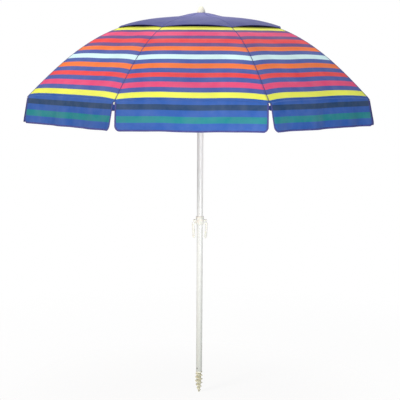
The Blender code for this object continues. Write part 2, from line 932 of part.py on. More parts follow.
def handle(side, sign):
    """A fold-down grip: a root with trunnions, and an oval arm that bows out and then hangs along the pole."""
    top = Vector((sign * HANDLE_TOP_X, 0, HINGE_Z - 0.018))
    low = Vector((sign * HANDLE_LOW_X, 0, HANDLE_BOTTOM_Z + HANDLE_R))
    start = Vector((sign * HINGE_X, 0, HINGE_Z - 0.004))
    arm = rod(f"handle_{side}", [start, top, (top + low) / 2, low], HANDLE_R * 0.9, IVORY, 3)
    end = bpy.data.meshes.new("handle_end")
    work = bmesh.new()
    bmesh.ops.create_uvsphere(work, u_segments=10, v_segments=6, radius=HANDLE_R)
    work.to_mesh(end)
    work.free()
    knob = add(f"handle_end_{side}", end, None)
    knob.location = low
    knob.rotation_euler = (0.1, 0.1, 0)
    trim = box(f"handle_trim_{side}", (0.06, 0.04, 0.0400), (sign * HINGE_X, 0, HINGE_Z + 0.0112))
    cut(arm, trim)
    hinge = (sign * HINGE_X, 0, HINGE_Z)
    eye = cylinder(f"handle_root_{side}", ROOT_R, ROOT_W, hinge, (0, 1, 0))
    web = box(
        f"handle_web_{side}",
        (0.0100, ROOT_W - 0.0002, 0.0160),
        (sign * (HINGE_X + 0.0020), 0, HINGE_Z - 0.0090),
    )
    pin = cylinder(f"handle_trunnion_{side}", TRUNNION_R, ROOT_W + 2 * CHEEK_T, hinge, (0, 1, 0))
    join(arm, knob, web, eye, pin)


def auger():
    """One closed surface round the axis: plug, shoulder, and a tapered core with a helical thread."""
    around = 16
    rows = []
    plug_r = POLE_R - POLE_WALL - GAP
    rows.append(lambda a: (plug_r - 0.001, AUGER_PLUG_Z))
    rows.append(lambda a: (plug_r, AUGER_PLUG_Z - 0.002))
    rows.append(lambda a: (plug_r, LOWER_BOTTOM_Z - GAP))
    rows.append(lambda a: (SHOULDER_R, LOWER_BOTTOM_Z - GAP))
    rows.append(lambda a: (SHOULDER_R, SHOULDER_BOTTOM_Z))
    rows.append(lambda a: (AUGER_CORE_R + GAP, SHOULDER_BOTTOM_Z))

    def thread(z):
        taper = min(1.0, (z / THREAD_TOP_Z) / 0.55) ** 0.75
        core = AUGER_TIP_R + (AUGER_CORE_R - AUGER_TIP_R) * taper
        fade = min(1.0, (THREAD_TOP_Z + 0.002 - z) / 0.006) * min(1.0, z / 0.010)
        fin = (AUGER_OUT_R - AUGER_CORE_R) * (0.35 + 0.65 * taper) * max(0.0, fade)

        def ring(a):
            phase = (z / AUGER_PITCH + a / (2 * pi)) % 1.0
            bump = max(0.0, 1 - abs(phase - 0.5) / THREAD_HALF_W)
            return core + fin * bump**0.8, z

        return ring

    count = 5 * AUGER_TURNS + 2
    for n in range(count):
        rows.append(thread(THREAD_TOP_Z * (1 - n / count)))
    rows.append(lambda a: (AUGER_TIP_R, 0.0))
    mesh = bpy.data.meshes.new("auger")
    points, faces = [], []
    for row in rows:
        for j in range(around):
            a = 2 * pi * j / around
            r, z = row(a)
            points.append((r * cos(a), r * sin(a), z))
    for i in range(len(rows) - 1):
        for j in range(around):
            k = (j + 1) % around
            faces.append(
                (i * around + j, (i + 1) * around + j, (i + 1) * around + k, i * around + k)
            )
    faces.append(tuple(range(around)))
    last = (len(rows) - 1) * around
    faces.append(tuple(last + j for j in reversed(range(around))))
    mesh.from_pydata(points, [], faces)
    made = add("auger", mesh, IVORY)
    way = Vector((cos(RIVET_ANGLE), sin(RIVET_ANGLE), 0))
    hole = cylinder(
        "rivet_hole_auger",
        RIVET_R + GAP,
        0.0124,
        way * 0.0130 + Vector((0, 0, RIVET_Z)),
        way,
        segments=10,
    )
    cut(made, hole)
    rivet = turned(
        "auger_rivet",
        [
            (0, 0.0019),
            (0.0020, 0.0015),
            (0.0034, 0.0003 + GAP),
            (RIVET_R, 0.0003 + GAP),
            (RIVET_R, -0.0080),
            (0, -0.0080),
        ],
        STEEL,
        segments=12,
    )
    rivet.location = way * POLE_R + Vector((0, 0, RIVET_Z))
    rivet.rotation_mode = "QUATERNION"
    rivet.rotation_quaternion = Vector((0, 0, 1)).rotation_difference(way)


def joints():
    hem = rib_point(cloth_share(RIB_TIP_R), CLOTH_OFFSET)
    for n in range(1, RIBS + 1):
        at_rib = Matrix.Rotation(rib_angle(n), 3, "Z")
        at_panel = Matrix.Rotation(panel_angle(n), 3, "Z")
        carry(f"rib_{n}_joint", at_rib @ in_plane(CROWN_PIVOT), f"rib_{n}", f"rib_tip_{n}")
        carry(f"stretcher_{n}_joint", at_rib @ in_plane(CLIP), f"stretcher_{n}")
        crease = Vector((PIVOT_R / cos(STEP / 2), 0, CROWN_Z))
        carry(f"gore_{n}_joint", at_panel @ crease, f"gore_{n}")
        middle = Vector((RIB_TIP_R * cos(STEP / 2), 0, hem.y))
        carry(f"valance_{n}_joint", at_panel @ middle, f"valance_{n}")
    upper = ("upper_pole", "tilt_upper", "crown_hub", "crown_wire", "finial", "vent_cap")
    carry("tilt_joint", (0, 0, TILT_Z), *upper)
    carry("catch_joint", (0, CATCH_HINGE_Y, CATCH_TOP_Z - CATCH_H), "runner_catch")
    carry("handle_left_joint", (-HINGE_X, 0, HINGE_Z), "handle_left")
    carry("handle_right_joint", (HINGE_X, 0, HINGE_Z), "handle_right")


copies_round("rib", rib_mesh())
copies_round("stretcher", stretcher_mesh())
copies_round("rib_tip", rib_tip_mesh())
cloth()
crown()
runner()
tilt_joint()
poles()
buttons()
handle_collar()
handle("left", -1)
handle("right", 1)
auger()
joints()
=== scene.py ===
import json
from math import cos, exp, pi, radians, sin

import bpy
import numpy as np
from mathutils import Matrix, Vector

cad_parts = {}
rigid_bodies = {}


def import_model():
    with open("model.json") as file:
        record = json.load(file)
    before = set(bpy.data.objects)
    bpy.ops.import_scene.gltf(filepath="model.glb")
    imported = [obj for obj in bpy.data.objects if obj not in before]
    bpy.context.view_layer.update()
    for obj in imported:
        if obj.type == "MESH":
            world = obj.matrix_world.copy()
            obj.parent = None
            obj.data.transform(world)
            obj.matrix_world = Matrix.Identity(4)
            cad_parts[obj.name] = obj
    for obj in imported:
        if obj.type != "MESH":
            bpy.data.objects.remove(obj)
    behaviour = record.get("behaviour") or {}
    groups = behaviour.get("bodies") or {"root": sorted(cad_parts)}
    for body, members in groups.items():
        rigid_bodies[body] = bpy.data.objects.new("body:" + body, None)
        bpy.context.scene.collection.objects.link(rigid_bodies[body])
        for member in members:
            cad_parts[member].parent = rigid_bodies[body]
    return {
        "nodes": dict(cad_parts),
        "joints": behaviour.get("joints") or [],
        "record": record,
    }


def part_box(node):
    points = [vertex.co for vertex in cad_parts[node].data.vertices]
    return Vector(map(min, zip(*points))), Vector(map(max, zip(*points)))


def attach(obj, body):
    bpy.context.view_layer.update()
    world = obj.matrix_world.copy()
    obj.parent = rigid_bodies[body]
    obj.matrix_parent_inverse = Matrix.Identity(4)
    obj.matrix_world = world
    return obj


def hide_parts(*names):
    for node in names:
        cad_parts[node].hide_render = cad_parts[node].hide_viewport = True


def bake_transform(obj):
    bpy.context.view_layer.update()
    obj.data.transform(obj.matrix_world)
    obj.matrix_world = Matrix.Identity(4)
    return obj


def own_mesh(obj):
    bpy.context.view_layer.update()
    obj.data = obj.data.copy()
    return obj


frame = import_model()
for stale in list(bpy.data.objects):
    if stale.name in ("Cube", "Light", "Camera"):
        bpy.data.objects.remove(stale)
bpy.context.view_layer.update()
nodes = frame["nodes"]
joint_at = {j["name"]: Vector(j.get("pos_m") or (0, 0, 0)) for j in frame["joints"]}

# Sizes, in metres --------------------------------------------------------------------------------

RIBS = 8
STEP = 2 * pi / RIBS
HALF = STEP / 2
FIRST_RIB = -pi / 2 - HALF
PIVOT = joint_at["rib_1_hinge"]
PIVOT_R = Vector((PIVOT.x, PIVOT.y)).length
CROWN_Z = PIVOT.z
TIP_R = 0.900
TIP_Z = 1.5935
RIB_BEND = radians(40.5)  # how far a rib's direction turns between the crown and the tip
RIB_BEND_PEAK = 0.46
CLOTH_T = 0.0012
CLOTH_OUT = 0.0048  # from the rib's centre line to the cloth's inner face
HEM_RISE = 0.010
VENT_EDGE_R = 0.15
CAP_START_R = 0.022
CAP_R = 0.437
CAP_TOP_Z = CROWN_Z + 0.0208
FLAP_DROP = 0.130
FLAP_FLARE = radians(9)
FLAP_CORNER = 0.022
TIP_ROOM = 0.0045  # from a flap's top corner to the rib tip
FLAP_BEND = 0.011  # the flap turns down off the hem over this length
SEAM_START_R = 0.34
SEAM_W = 0.0034
CAP_SEAM_W = 0.0032
SEAM_H = 0.0018
CAP_HEM_W = 0.009
CAP_HEM_H = 0.0026
BINDING_W = 0.0085
BINDING_H = 0.0032
BINDING_INSET = 0.0005  # from the flap's lower edge up to the middle of its binding
BINDING_TOP = 0.004
TAPE_SIDES = 8
PATCH_R = (0.0052, 0.052)
PATCH_T = 0.0010


def rib_angle(n):
    return FIRST_RIB + (n - 1) * STEP


def panel_angle(n):
    return rib_angle(n) + HALF


def turned_to(angle, point):
    return Matrix.Rotation(angle, 3, "Z") @ Vector(point)


# The rib's bent line, as complex numbers: distance from the pole's axis, and height times 1j -----


def rib_line():
    """Points along the rib, a little past its crown end, and the way out from the rib at each."""
    shares = np.linspace(0, 1, 1601)
    bend = np.where(
        shares < RIB_BEND_PEAK,
        shares**2 / RIB_BEND_PEAK,
        1 - (1 - shares) ** 2 / (1 - RIB_BEND_PEAK),
    )
    steps = np.exp(-0.5j * RIB_BEND * (bend[1:] + bend[:-1]))
    line = np.concatenate([[0], np.cumsum(steps)])
    start = complex(PIVOT_R, CROWN_Z)
    fit = (complex(TIP_R, TIP_Z) - start) / line[-1]
    line = start + fit * line
    along = fit / abs(fit) * np.exp(-1j * RIB_BEND * bend)
    inner = line[0] - PIVOT_R * along[0]
    return np.insert(line, 0, inner), np.insert(1j * along, 0, 1j * along[0])


RIB_LINE, RIB_OUT = rib_line()


def cloth_z(radius, out=CLOTH_OUT):
    """Height of the cloth over a rib, at a distance from the pole's axis."""
    line = RIB_LINE + out * RIB_OUT
    return float(np.interp(radius, line.real, line.imag))


def smoothstep(value):
    value = min(1.0, max(0.0, value))
    return value * value * (3 - 2 * value)


# Distance along the middle of a panel, measured up from its hem
TABLE_R = np.linspace(0.004, TIP_R, 400)
TABLE_Z = np.array([cloth_z(r) for r in TABLE_R])
TABLE_RUN = np.concatenate(
    [[0], np.cumsum(np.hypot(np.diff(TABLE_R * cos(HALF)), np.diff(TABLE_Z)))]
)


def up_from_hem(radius):
    return float(TABLE_RUN[-1] - np.interp(radius, TABLE_R, TABLE_RUN))


# Materials ---------------------------------------------------------------------------------------


def linear(*rgb):
    return tuple(
        c / 12.92 if c <= 0.04045 else ((c + 0.055) / 1.055) ** 2.4 for c in (x / 255 for x in rgb)
    )


class Tree:
    """A material's nodes, added and joined with short calls."""

    def __init__(self, name):
        self.material = bpy.data.materials.new(name)
        self.material.use_nodes = True
        self.tree = self.material.node_tree
        self.shader = self.tree.nodes["Principled BSDF"]
        self.output = self.tree.nodes["Material Output"]

    def add(self, kind, inputs=None, **settings):
        node = self.tree.nodes.new(kind)
        for key, value in settings.items():
            setattr(node, key, value)
        for key, value in (inputs or {}).items():
            self.put(node, key, value)
        return node

    def put(self, node, key, value):
        if isinstance(value, bpy.types.NodeSocket):
            self.tree.links.new(value, node.inputs[key])
        else:
            node.inputs[key].default_value = value

    def math(self, operation, a, b=0.0):
        return self.add("ShaderNodeMath", {0: a, 1: b}, operation=operation).outputs[0]

    def mix(self, share, a, b):
        node = self.add("ShaderNodeMix", data_type="RGBA")
        self.put(node, 0, share)
        self.put(node, 6, a if isinstance(a, bpy.types.NodeSocket) else (*a, 1))
        self.put(node, 7, b if isinstance(b, bpy.types.NodeSocket) else (*b, 1))
        return node.outputs[2]

    def noise(self, vector, scale, detail=3.0, rough=0.55):
        made = self.add(
            "ShaderNodeTexNoise",
            {"Vector": vector, "Scale": scale, "Detail": detail, "Roughness": rough},
        )
        return made.outputs["Fac"]

    def spread(self, value, low, high):
        made = self.add(
            "ShaderNodeMapRange",
            {"Value": value, "From Min": 0.3, "From Max": 0.7, "To Min": low, "To Max": high},
        )
        return made.outputs[0]

    def bump(self, height, strength, distance, normal=None):
        made = self.add(
            "ShaderNodeBump", {"Height": height, "Strength": strength, "Distance": distance}
        )
        if normal is not None:
            self.put(made, "Normal", normal)
        return made.outputs[0]

    def place(self):
        return self.add("ShaderNodeTexCoord").outputs["Object"]


BLUE = linear(76, 98, 178)
FLAP_BLUE = linear(44, 98, 184)
VIOLET = linear(112, 80, 146)
YELLOW = linear(246, 250, 94)
PINK = linear(238, 76, 132)
RED = linear(242, 70, 74)
ORANGE = linear(248, 128, 50)
ICE = linear(222, 250, 252)
SLATE = linear(30, 70, 114)
TEAL = linear(16, 142, 150)
NAVY = linear(46, 48, 118)
# The cap's cloth colour at the crown, and a darker one at its hem that is painted shade.
CAP_CROWN = linear(104, 106, 172)
CAP_HEM_SHADE = linear(60, 66, 134)

# Each stripe ends this far up from the hem. The flap's stripes are below 0.
STRIPES = (
    (-0.097, FLAP_BLUE),
    (-0.066, TEAL),
    (-0.036, FLAP_BLUE),
    (-0.011, SLATE),
    (0.012, FLAP_BLUE),
    (0.045, YELLOW),
    (0.072, BLUE),
    (0.106, PINK),
    (0.134, BLUE),
    (0.166, RED),
    (0.192, BLUE),
    (0.229, ORANGE),
    (0.256, BLUE),
    (0.289, ICE),
    (0.318, BLUE),
    (0.353, ORANGE),
    (0.382, VIOLET),
    (0.417, RED),
    (0.446, VIOLET),
    (0.488, PINK),
    (0.512, VIOLET),
    (0.560, YELLOW),
    (0.900, NAVY),
)
STRIPE_LOW = -0.16
STRIPE_HIGH = 0.90


def cloth_finish(made, colour, uv, translucent):
    """Weave, soft mottling and a little light coming through, over a given colour."""
    place = made.place()
    slow = made.noise(place, 5.0, 2)
    colour = made.mix(made.spread(slow, 0.0, 0.14), colour, (0.02, 0.03, 0.12))
    faded = made.noise(place, 12.0, 3)
    colour = made.mix(made.spread(faded, 0.0, 0.045), colour, (1, 1, 1))
    split = made.add("ShaderNodeSeparateXYZ", {0: uv})
    thread = 2 * pi / 0.0011
    warp = made.math("SINE", made.math("MULTIPLY", split.outputs[0], thread))
    weft = made.math("SINE", made.math("MULTIPLY", split.outputs[1], thread))
    weave = made.math("MULTIPLY", warp, weft)
    slub = made.noise(made.add("ShaderNodeMapping", {0: uv, "Scale": (12, 900, 1)}).outputs[0], 1.0)
    height = made.math("ADD", weave, made.math("MULTIPLY", slub, 1.6))
    fine = made.bump(height, 0.35, 0.0003)
    creases = made.noise(place, 7.0, 3)
    normal = made.bump(creases, 0.5, 0.010, fine)
    shader = made.shader
    made.put(shader, "Base Color", colour)
    made.put(shader, "Roughness", made.spread(slow, 0.66, 0.80))
    made.put(shader, "Normal", normal)
    made.put(shader, "Sheen Weight", 0.06)
    made.put(shader, "Sheen Roughness", 0.5)
    made.put(shader, "Specular IOR Level", 0.26)
    through = made.add("ShaderNodeBsdfTranslucent", {"Color": colour, "Normal": normal})
    mixed = made.add("ShaderNodeMixShader", {0: translucent, 1: shader.outputs[0]})
    made.tree.links.new(through.outputs[0], mixed.inputs[2])
    made.tree.links.new(mixed.outputs[0], made.output.inputs["Surface"])
    return made.material


def striped_cloth():
    made = Tree("striped_cloth_look")
    uv = made.add("ShaderNodeUVMap", uv_map="cloth").outputs[0]
    split = made.add("ShaderNodeSeparateXYZ", {0: uv})
    waver = made.noise(made.add("ShaderNodeMapping", {0: uv, "Scale": (9, 2, 1)}).outputs[0], 1.0)
    along = made.math("ADD", split.outputs[1], made.math("MULTIPLY", waver, 0.0016))
    share = made.math("DIVIDE", made.math("SUBTRACT", along, STRIPE_LOW), STRIPE_HIGH - STRIPE_LOW)
    ramp = made.add("ShaderNodeValToRGB", {0: share})
    ramp.color_ramp.interpolation = "CONSTANT"
    elements = ramp.color_ramp.elements
    elements[0].position = 0.0
    elements[0].color = (*STRIPES[0][1], 1)
    elements.remove(elements[1])
    for (edge, _), (_, colour) in zip(STRIPES[:-1], STRIPES[1:]):
        stop = elements.new((edge - STRIPE_LOW) / (STRIPE_HIGH - STRIPE_LOW))
        stop.color = (*colour, 1)
    return cloth_finish(made, ramp.outputs[0], uv, 0.30)


def cap_cloth():
    """Plain cloth, lighter at the crown and darker towards the hem: the darkening is painted shade.
    """
    made = Tree("cap_cloth_look")
    uv = made.add("ShaderNodeUVMap", uv_map="cloth").outputs[0]
    out = made.add("ShaderNodeSeparateXYZ", {0: uv}).outputs[1]
    share = made.add(
        "ShaderNodeMapRange", {"Value": out, "From Min": 0.05, "From Max": CAP_R}
    ).outputs[0]
    return cloth_finish(made, made.mix(share, CAP_CROWN, CAP_HEM_SHADE), uv, 0.12)


def tape(name, colour):
    """Folded binding tape, with a row of stitches along its middle."""
    made = Tree(name)
    uv = made.add("ShaderNodeUVMap", uv_map="cloth").outputs[0]
    split = made.add("ShaderNodeSeparateXYZ", {0: uv})
    stitch = made.math("SINE", made.math("MULTIPLY", split.outputs[1], 2 * pi / 0.0045))
    line = made.math("LESS_THAN", made.math("ABSOLUTE", split.outputs[0]), 0.0007)
    thread = made.math("MULTIPLY", made.math("GREATER_THAN", stitch, -0.3), line)
    place = made.place()
    cloudy = made.noise(place, 60.0, 3)
    base = made.mix(made.spread(cloudy, 0.0, 0.3), colour, (0.10, 0.11, 0.30))
    made.put(made.shader, "Base Color", made.mix(thread, base, linear(88, 92, 150)))
    made.put(made.shader, "Roughness", 0.8)
    ribbing = made.math("SINE", made.math("MULTIPLY", split.outputs[1], 2 * pi / 0.0013))
    height = made.math("ADD", made.math("MULTIPLY", thread, 2.0), ribbing)
    made.put(made.shader, "Normal", made.bump(height, 0.4, 0.0003))
    return made.material


def enamel():
    """Satin white paint on tube: faint runs, scuffs, fine grain, and painted shade that greys it
    towards the foot.
    """
    made = Tree("white_tube_look")
    place = made.place()
    long_grain = made.add("ShaderNodeMapping", {0: place, "Scale": (90, 90, 3)}).outputs[0]
    runs = made.noise(long_grain, 1.0, 3)
    height = made.add("ShaderNodeSeparateXYZ", {0: place}).outputs[2]
    # Painted shade: the white greys towards the foot, where less light reaches the pole.
    low = made.add(
        "ShaderNodeMapRange",
        {"Value": height, "From Min": 0.1, "From Max": 1.5, "To Min": 1.0, "To Max": 0.0},
    ).outputs[0]
    base = made.mix(low, linear(252, 253, 252), linear(186, 189, 182))
    base = made.mix(made.spread(runs, 0.0, 0.10), base, linear(200, 203, 203))
    scuff = made.noise(place, 70.0, 5, 0.7)
    mark = made.math("GREATER_THAN", scuff, 0.72)
    base = made.mix(made.math("MULTIPLY", mark, 0.35), base, linear(150, 152, 150))
    made.put(made.shader, "Base Color", base)
    made.put(made.shader, "Roughness", made.spread(runs, 0.26, 0.42))
    made.put(made.shader, "Coat Weight", 0.25)
    made.put(made.shader, "Coat Roughness", 0.15)
    made.put(made.shader, "Normal", made.bump(scuff, 0.15, 0.0004))
    return made.material


def moulded(name, fresh, aged, groove_shade=False):
    """Moulded plastic: fine spark texture, yellowed in patches, and on a screw, painted shade
    between the thread's turns.
    """
    made = Tree(name)
    place = made.place()
    patch = made.noise(place, 26.0, 3)
    base = made.mix(made.spread(patch, 0.0, 1.0), fresh, aged)
    # Painted shade: darker away from the thread's crests, where the thread shades the core.
    if groove_shade:
        uv = made.add("ShaderNodeUVMap", uv_map="cloth").outputs[0]
        crest = made.add("ShaderNodeSeparateXYZ", {0: uv}).outputs[0]
        groove_shade_share = made.add(
            "ShaderNodeMapRange", {"Value": crest, "From Max": 0.6, "To Min": 0.50, "To Max": 0.0}
        ).outputs[0]
        base = made.mix(groove_shade_share, base, linear(140, 136, 108))
    edge = made.add("ShaderNodeNewGeometry").outputs["Pointiness"]
    worn = made.add(
        "ShaderNodeMapRange", {"Value": edge, "From Min": 0.5, "From Max": 0.62, "To Max": 0.5}
    ).outputs[0]
    base = made.mix(worn, base, linear(250, 249, 240))
    grain = made.noise(place, 1400.0, 2)
    made.put(made.shader, "Base Color", base)
    made.put(made.shader, "Roughness", made.spread(patch, 0.38, 0.52))
    made.put(made.shader, "Subsurface Weight", 0.12)
    made.put(made.shader, "Subsurface Radius", (0.004, 0.003, 0.002))
    made.put(made.shader, "Subsurface Scale", 1.0)
    made.put(made.shader, "Normal", made.bump(grain, 0.12, 0.0002))
    return made.material


def metal(name, colour, metallic, rough):
    """Drawn or plated metal, with grain along its length and small dull spots."""
    made = Tree(name)
    place = made.place()
    fine = made.add("ShaderNodeMapping", {0: place, "Scale": (40, 40, 40)}).outputs[0]
    grain = made.noise(fine, 9.0)
    spots = made.noise(place, 120.0, 4, 0.7)
    base = made.mix(made.spread(spots, 0.0, 0.35), colour, tuple(c * 0.72 for c in colour))
    made.put(made.shader, "Base Color", base)
    made.put(made.shader, "Metallic", metallic)
    made.put(made.shader, "Roughness", made.spread(grain, rough - 0.08, rough + 0.10))
    made.put(made.shader, "Normal", made.bump(spots, 0.12, 0.0003))
    return made.material


LOOKS = {
    "striped_cloth": striped_cloth(),
    "navy_cloth": cap_cloth(),
    "tape": tape("navy_tape_look", NAVY),
    "white_tube": enamel(),
    "ivory_plastic": moulded("ivory_plastic_look", linear(240, 240, 226), linear(229, 227, 208)),
    "white_plastic": moulded("white_plastic_look", linear(234, 234, 226), linear(222, 222, 212)),
    # The screw's plastic is the ivory plastic made darker and greyer: painted shade for the dim
    # light at the foot.
    "shaded_screw_plastic": moulded(
        "shaded_screw_plastic_look", linear(208, 206, 184), linear(192, 189, 162), groove_shade=True
    ),
    "dark_steel": metal("dark_rivet_look", linear(92, 90, 86), 0.8, 0.45),
    "steel": metal("plated_steel_look", (0.56, 0.56, 0.57), 1.0, 0.34),
    "rib_steel": metal("coated_rib_look", linear(226, 227, 226), 0.15, 0.42),
}

# Carried-over CAD nodes: welded, those in the ivory plastic slot eased at their edges, and all
# given their finish ---------

SLOT_OF = {row["node"]: row["material_slot"] for row in frame["record"]["subparts"]}
OWN_LOOK = {
    "handle_collar": "white_plastic",
    "handle_left": "white_plastic",
    "handle_right": "white_plastic",
    "auger_rivet": "dark_steel",
}
for name, made in nodes.items():
    look = LOOKS[OWN_LOOK.get(name, SLOT_OF[name])]
    for place in made.material_slots:
        place.material = look
    for face in made.data.polygons:
        face.use_smooth = True
    weld = made.modifiers.new("weld", "WELD")
    weld.merge_threshold = 0.00002
    if SLOT_OF[name] in ("ivory_plastic",):
        ease = made.modifiers.new("ease", "BEVEL")
        ease.width = 0.0005
        ease.segments = 2
        ease.limit_method = "ANGLE"
        ease.angle_limit = radians(42)
        ease.harden_normals = False
    edges = made.modifiers.new("edges", "EDGE_SPLIT")
    edges.split_angle = radians(34)

# Mesh helpers ------------------------------------------------------------------------------------


def add_mesh(name, points, faces, look, uv=None):
    mesh = bpy.data.meshes.new(name)
    mesh.from_pydata([tuple(p) for p in points], [], faces)
    mesh.materials.append(LOOKS[look])
    if uv is not None:
        layer = mesh.uv_layers.new(name="cloth")
        for loop in mesh.loops:
            layer.data[loop.index].uv = uv[loop.vertex_index]
    mesh.shade_smooth()
    made = bpy.data.objects.new(name, mesh)
    bpy.context.scene.collection.objects.link(made)
    return made


def grid_faces(rows, columns, closed=False, flip=False):
    faces = []
    for i in range(rows - 1):
        for j in range(columns if closed else columns - 1):
            k = (j + 1) % columns
            face = (i * columns + j, (i + 1) * columns + j, (i + 1) * columns + k, i * columns + k)
            faces.append(tuple(reversed(face)) if flip else face)
    return faces


def thicken(made, thickness):
    """Grows the sheet outwards from its inner face."""
    shell = made.modifiers.new("thickness", "SOLIDIFY")
    shell.thickness = thickness
    shell.offset = 1.0


def sweep(name, line, normals, width, height):
    """A flat oval tape along a line. The normals point out of the surface it lies on."""
    points, uv = [], []
    run = 0.0
    for i, at in enumerate(line):
        ahead = line[min(i + 1, len(line) - 1)] - line[max(i - 1, 0)]
        ahead.normalize()
        up = normals[i].normalized()
        side = ahead.cross(up).normalized()
        up = side.cross(ahead).normalized()
        if i:
            run += (at - line[i - 1]).length
        for j in range(TAPE_SIDES):
            a = 2 * pi * j / TAPE_SIDES
            across = width / 2 * cos(a)
            points.append(at + side * across + up * (height / 2 * sin(a)))
            uv.append((across if sin(a) > -0.1 else 0.01, run))
    faces = grid_faces(len(line), TAPE_SIDES, closed=True, flip=True)
    faces.append(tuple(range(TAPE_SIDES)))
    last = (len(line) - 1) * TAPE_SIDES
    faces.append(tuple(last + j for j in reversed(range(TAPE_SIDES))))
    return add_mesh(name, points, faces, "tape", uv)


def blend_panel(made):
    """Bakes the piece's placement into its mesh; it does not bend it between the ribs."""
    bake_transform(made)


# Canopy panels -----------------------------------------------------------------------------------


def pucker(n, share, radius):
    """Small pulls in the cloth along its seams, and slow ripples towards the hem."""
    from_seam = (1 - abs(share)) * radius * sin(HALF)
    run = up_from_hem(radius)
    pull = 0.0010 * exp(-from_seam / 0.022) * sin(2 * pi * run / 0.031 + 1.7 * n + 2.1 * share)
    slow = 0.0016 * sin(5.1 * share + 1.3 * n) * sin(4.0 * radius / TIP_R + 0.7 * n)
    edge = 1 - share * share
    return pull * min(1.0, from_seam / 0.004) + slow * edge * smoothstep(radius / TIP_R)


def panel_rise(share, radius):
    return HEM_RISE * smoothstep((radius - 0.30) / 0.62) * (1 - abs(share) ** 5)


def panel_point(n, share, radius):
    """share runs from -1 at rib n to 1 at the next rib."""
    z = cloth_z(radius) + panel_rise(share, radius) + pucker(n, share, radius)
    inset = 0.0003 / max(radius * sin(HALF), 0.001)
    side = share * (1 - inset) * radius * sin(HALF)
    return turned_to(panel_angle(n), (radius * cos(HALF), side, z))


def even(count, low, high):
    return [low + (high - low) * i / (count - 1) for i in range(count)]


def across_shares(count):
    """Shares from -1 to 1, closer together near the seams."""
    return [sin(pi / 2 * x) * 0.35 + x * 0.65 for x in even(count, -1, 1)]


def panel(n):
    radii = even(64, VENT_EDGE_R, TIP_R)
    shares = across_shares(41)
    points, uv, weights = [], [], []
    for radius in radii:
        for share in shares:
            points.append(panel_point(n, share, radius))
            uv.append((share * radius * sin(HALF) + 2.0 * n, up_from_hem(radius)))
            weights.append((share + 1) / 2)
    made = add_mesh(
        f"panel_{n}", points, grid_faces(len(radii), len(shares)), "striped_cloth", uv
    )
    thicken(made, CLOTH_T)
    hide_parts(f"gore_{n}")
    blend_panel(made)


def seam(n):
    """The felled seam over rib n: a narrow raised line of cloth and thread."""
    radii = even(90, SEAM_START_R, TIP_R + 0.0015)
    line, normals = [], []
    for radius in radii:
        z = cloth_z(radius, CLOTH_OUT + CLOTH_T + 0.0002)
        line.append(turned_to(rib_angle(n), (radius, 0, z)))
        out = RIB_OUT[np.searchsorted(RIB_LINE.real, min(radius, TIP_R))]
        normals.append(turned_to(rib_angle(n), (out.real, 0, out.imag)))
    made = sweep(f"seam_{n}", line, normals, SEAM_W, SEAM_H)
    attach(made, f"rib_{n}")


# Vent cap ----------------------------------------------------------------------------------------


def cap_height(share, radius):
    """Top face of the cap. It is sewn down at the ribs, and stands off the panels between them."""
    line = cloth_z(max(radius, 0.06), CLOTH_OUT + CLOTH_T)
    near = 1 - smoothstep((radius - 0.022) / 0.11)
    between = 1 - share * share
    rise = 0.0022 + 0.0105 * between * smoothstep(radius / CAP_R) + panel_rise(share, radius)
    crown = CAP_TOP_Z - 0.03 * radius
    return crown * near + (line + rise) * (1 - near)


def cap_point(n, share, radius, lift=0.0):
    side = share * radius * sin(HALF)
    return turned_to(
        panel_angle(n), (radius * cos(HALF), side, cap_height(share, radius) + lift)
    )


def cap_panel(n):
    radii = even(44, CAP_START_R, CAP_R)
    shares = across_shares(25)
    points, uv, weights = [], [], []
    for radius in radii:
        for share in shares:
            points.append(cap_point(n, share, radius))
            uv.append((share * radius * sin(HALF) + 2.0 * n, radius))
            weights.append((share + 1) / 2)
    made = add_mesh(
        f"vent_cap_{n}", points, grid_faces(len(radii), len(shares)), "navy_cloth", uv
    )
    thicken(made, CLOTH_T)
    if n == 1:
        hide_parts("vent_cap")
    blend_panel(made)
    hem_shares = even(41, -1, 1)
    line = [cap_point(n, s, CAP_R - 0.002, 0.0006) for s in hem_shares]
    out = turned_to(panel_angle(n), (0.35, 0, 1))
    hem = sweep(f"cap_hem_{n}", line, [out] * len(line), CAP_HEM_W, CAP_HEM_H)
    blend_panel(hem)


def cap_seam(n):
    radii = even(40, 0.045, CAP_R - 0.001)
    line = [turned_to(rib_angle(n), (r, 0, cap_height(1, r) + CLOTH_T)) for r in radii]
    normals = [turned_to(rib_angle(n), (0.3, 0, 1)) for _ in radii]
    made = sweep(f"cap_seam_{n}", line, normals, CAP_SEAM_W, SEAM_H)
    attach(made, f"rib_{n}")


def crown_patch():
    """The round of cloth under the finial, which stays with the pole."""
    radii = even(10, *PATCH_R)
    around = 64
    points, uv = [], []
    for radius in radii:
        for j in range(around):
            a = 2 * pi * j / around
            fold = ((a - FIRST_RIB) % STEP) / STEP * 2 - 1
            droop = 0.004 * smoothstep((radius - 0.04) / 0.012)
            z = cap_height(fold, radius) + CLOTH_T + 0.0004 - droop
            points.append((radius * cos(a), radius * sin(a), z))
            uv.append((a * 0.05, radius))
    made = add_mesh(
        "crown_patch", points, grid_faces(len(radii), around, closed=True), "navy_cloth", uv
    )
    thicken(made, PATCH_T)
    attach(made, "upper_pole")


# Valance flaps -----------------------------------------------------------------------------------

FLAP_TOP_HALF = TIP_R * sin(HALF) - TIP_ROOM


def flap_half_width(down):
    """Half the flap's width at a distance down from the hem, with its lower corners rounded."""
    half = FLAP_TOP_HALF
    over = down - (FLAP_DROP - FLAP_CORNER)
    if over > 0:
        half -= FLAP_CORNER - max(0.0, FLAP_CORNER**2 - over**2) ** 0.5
    return half


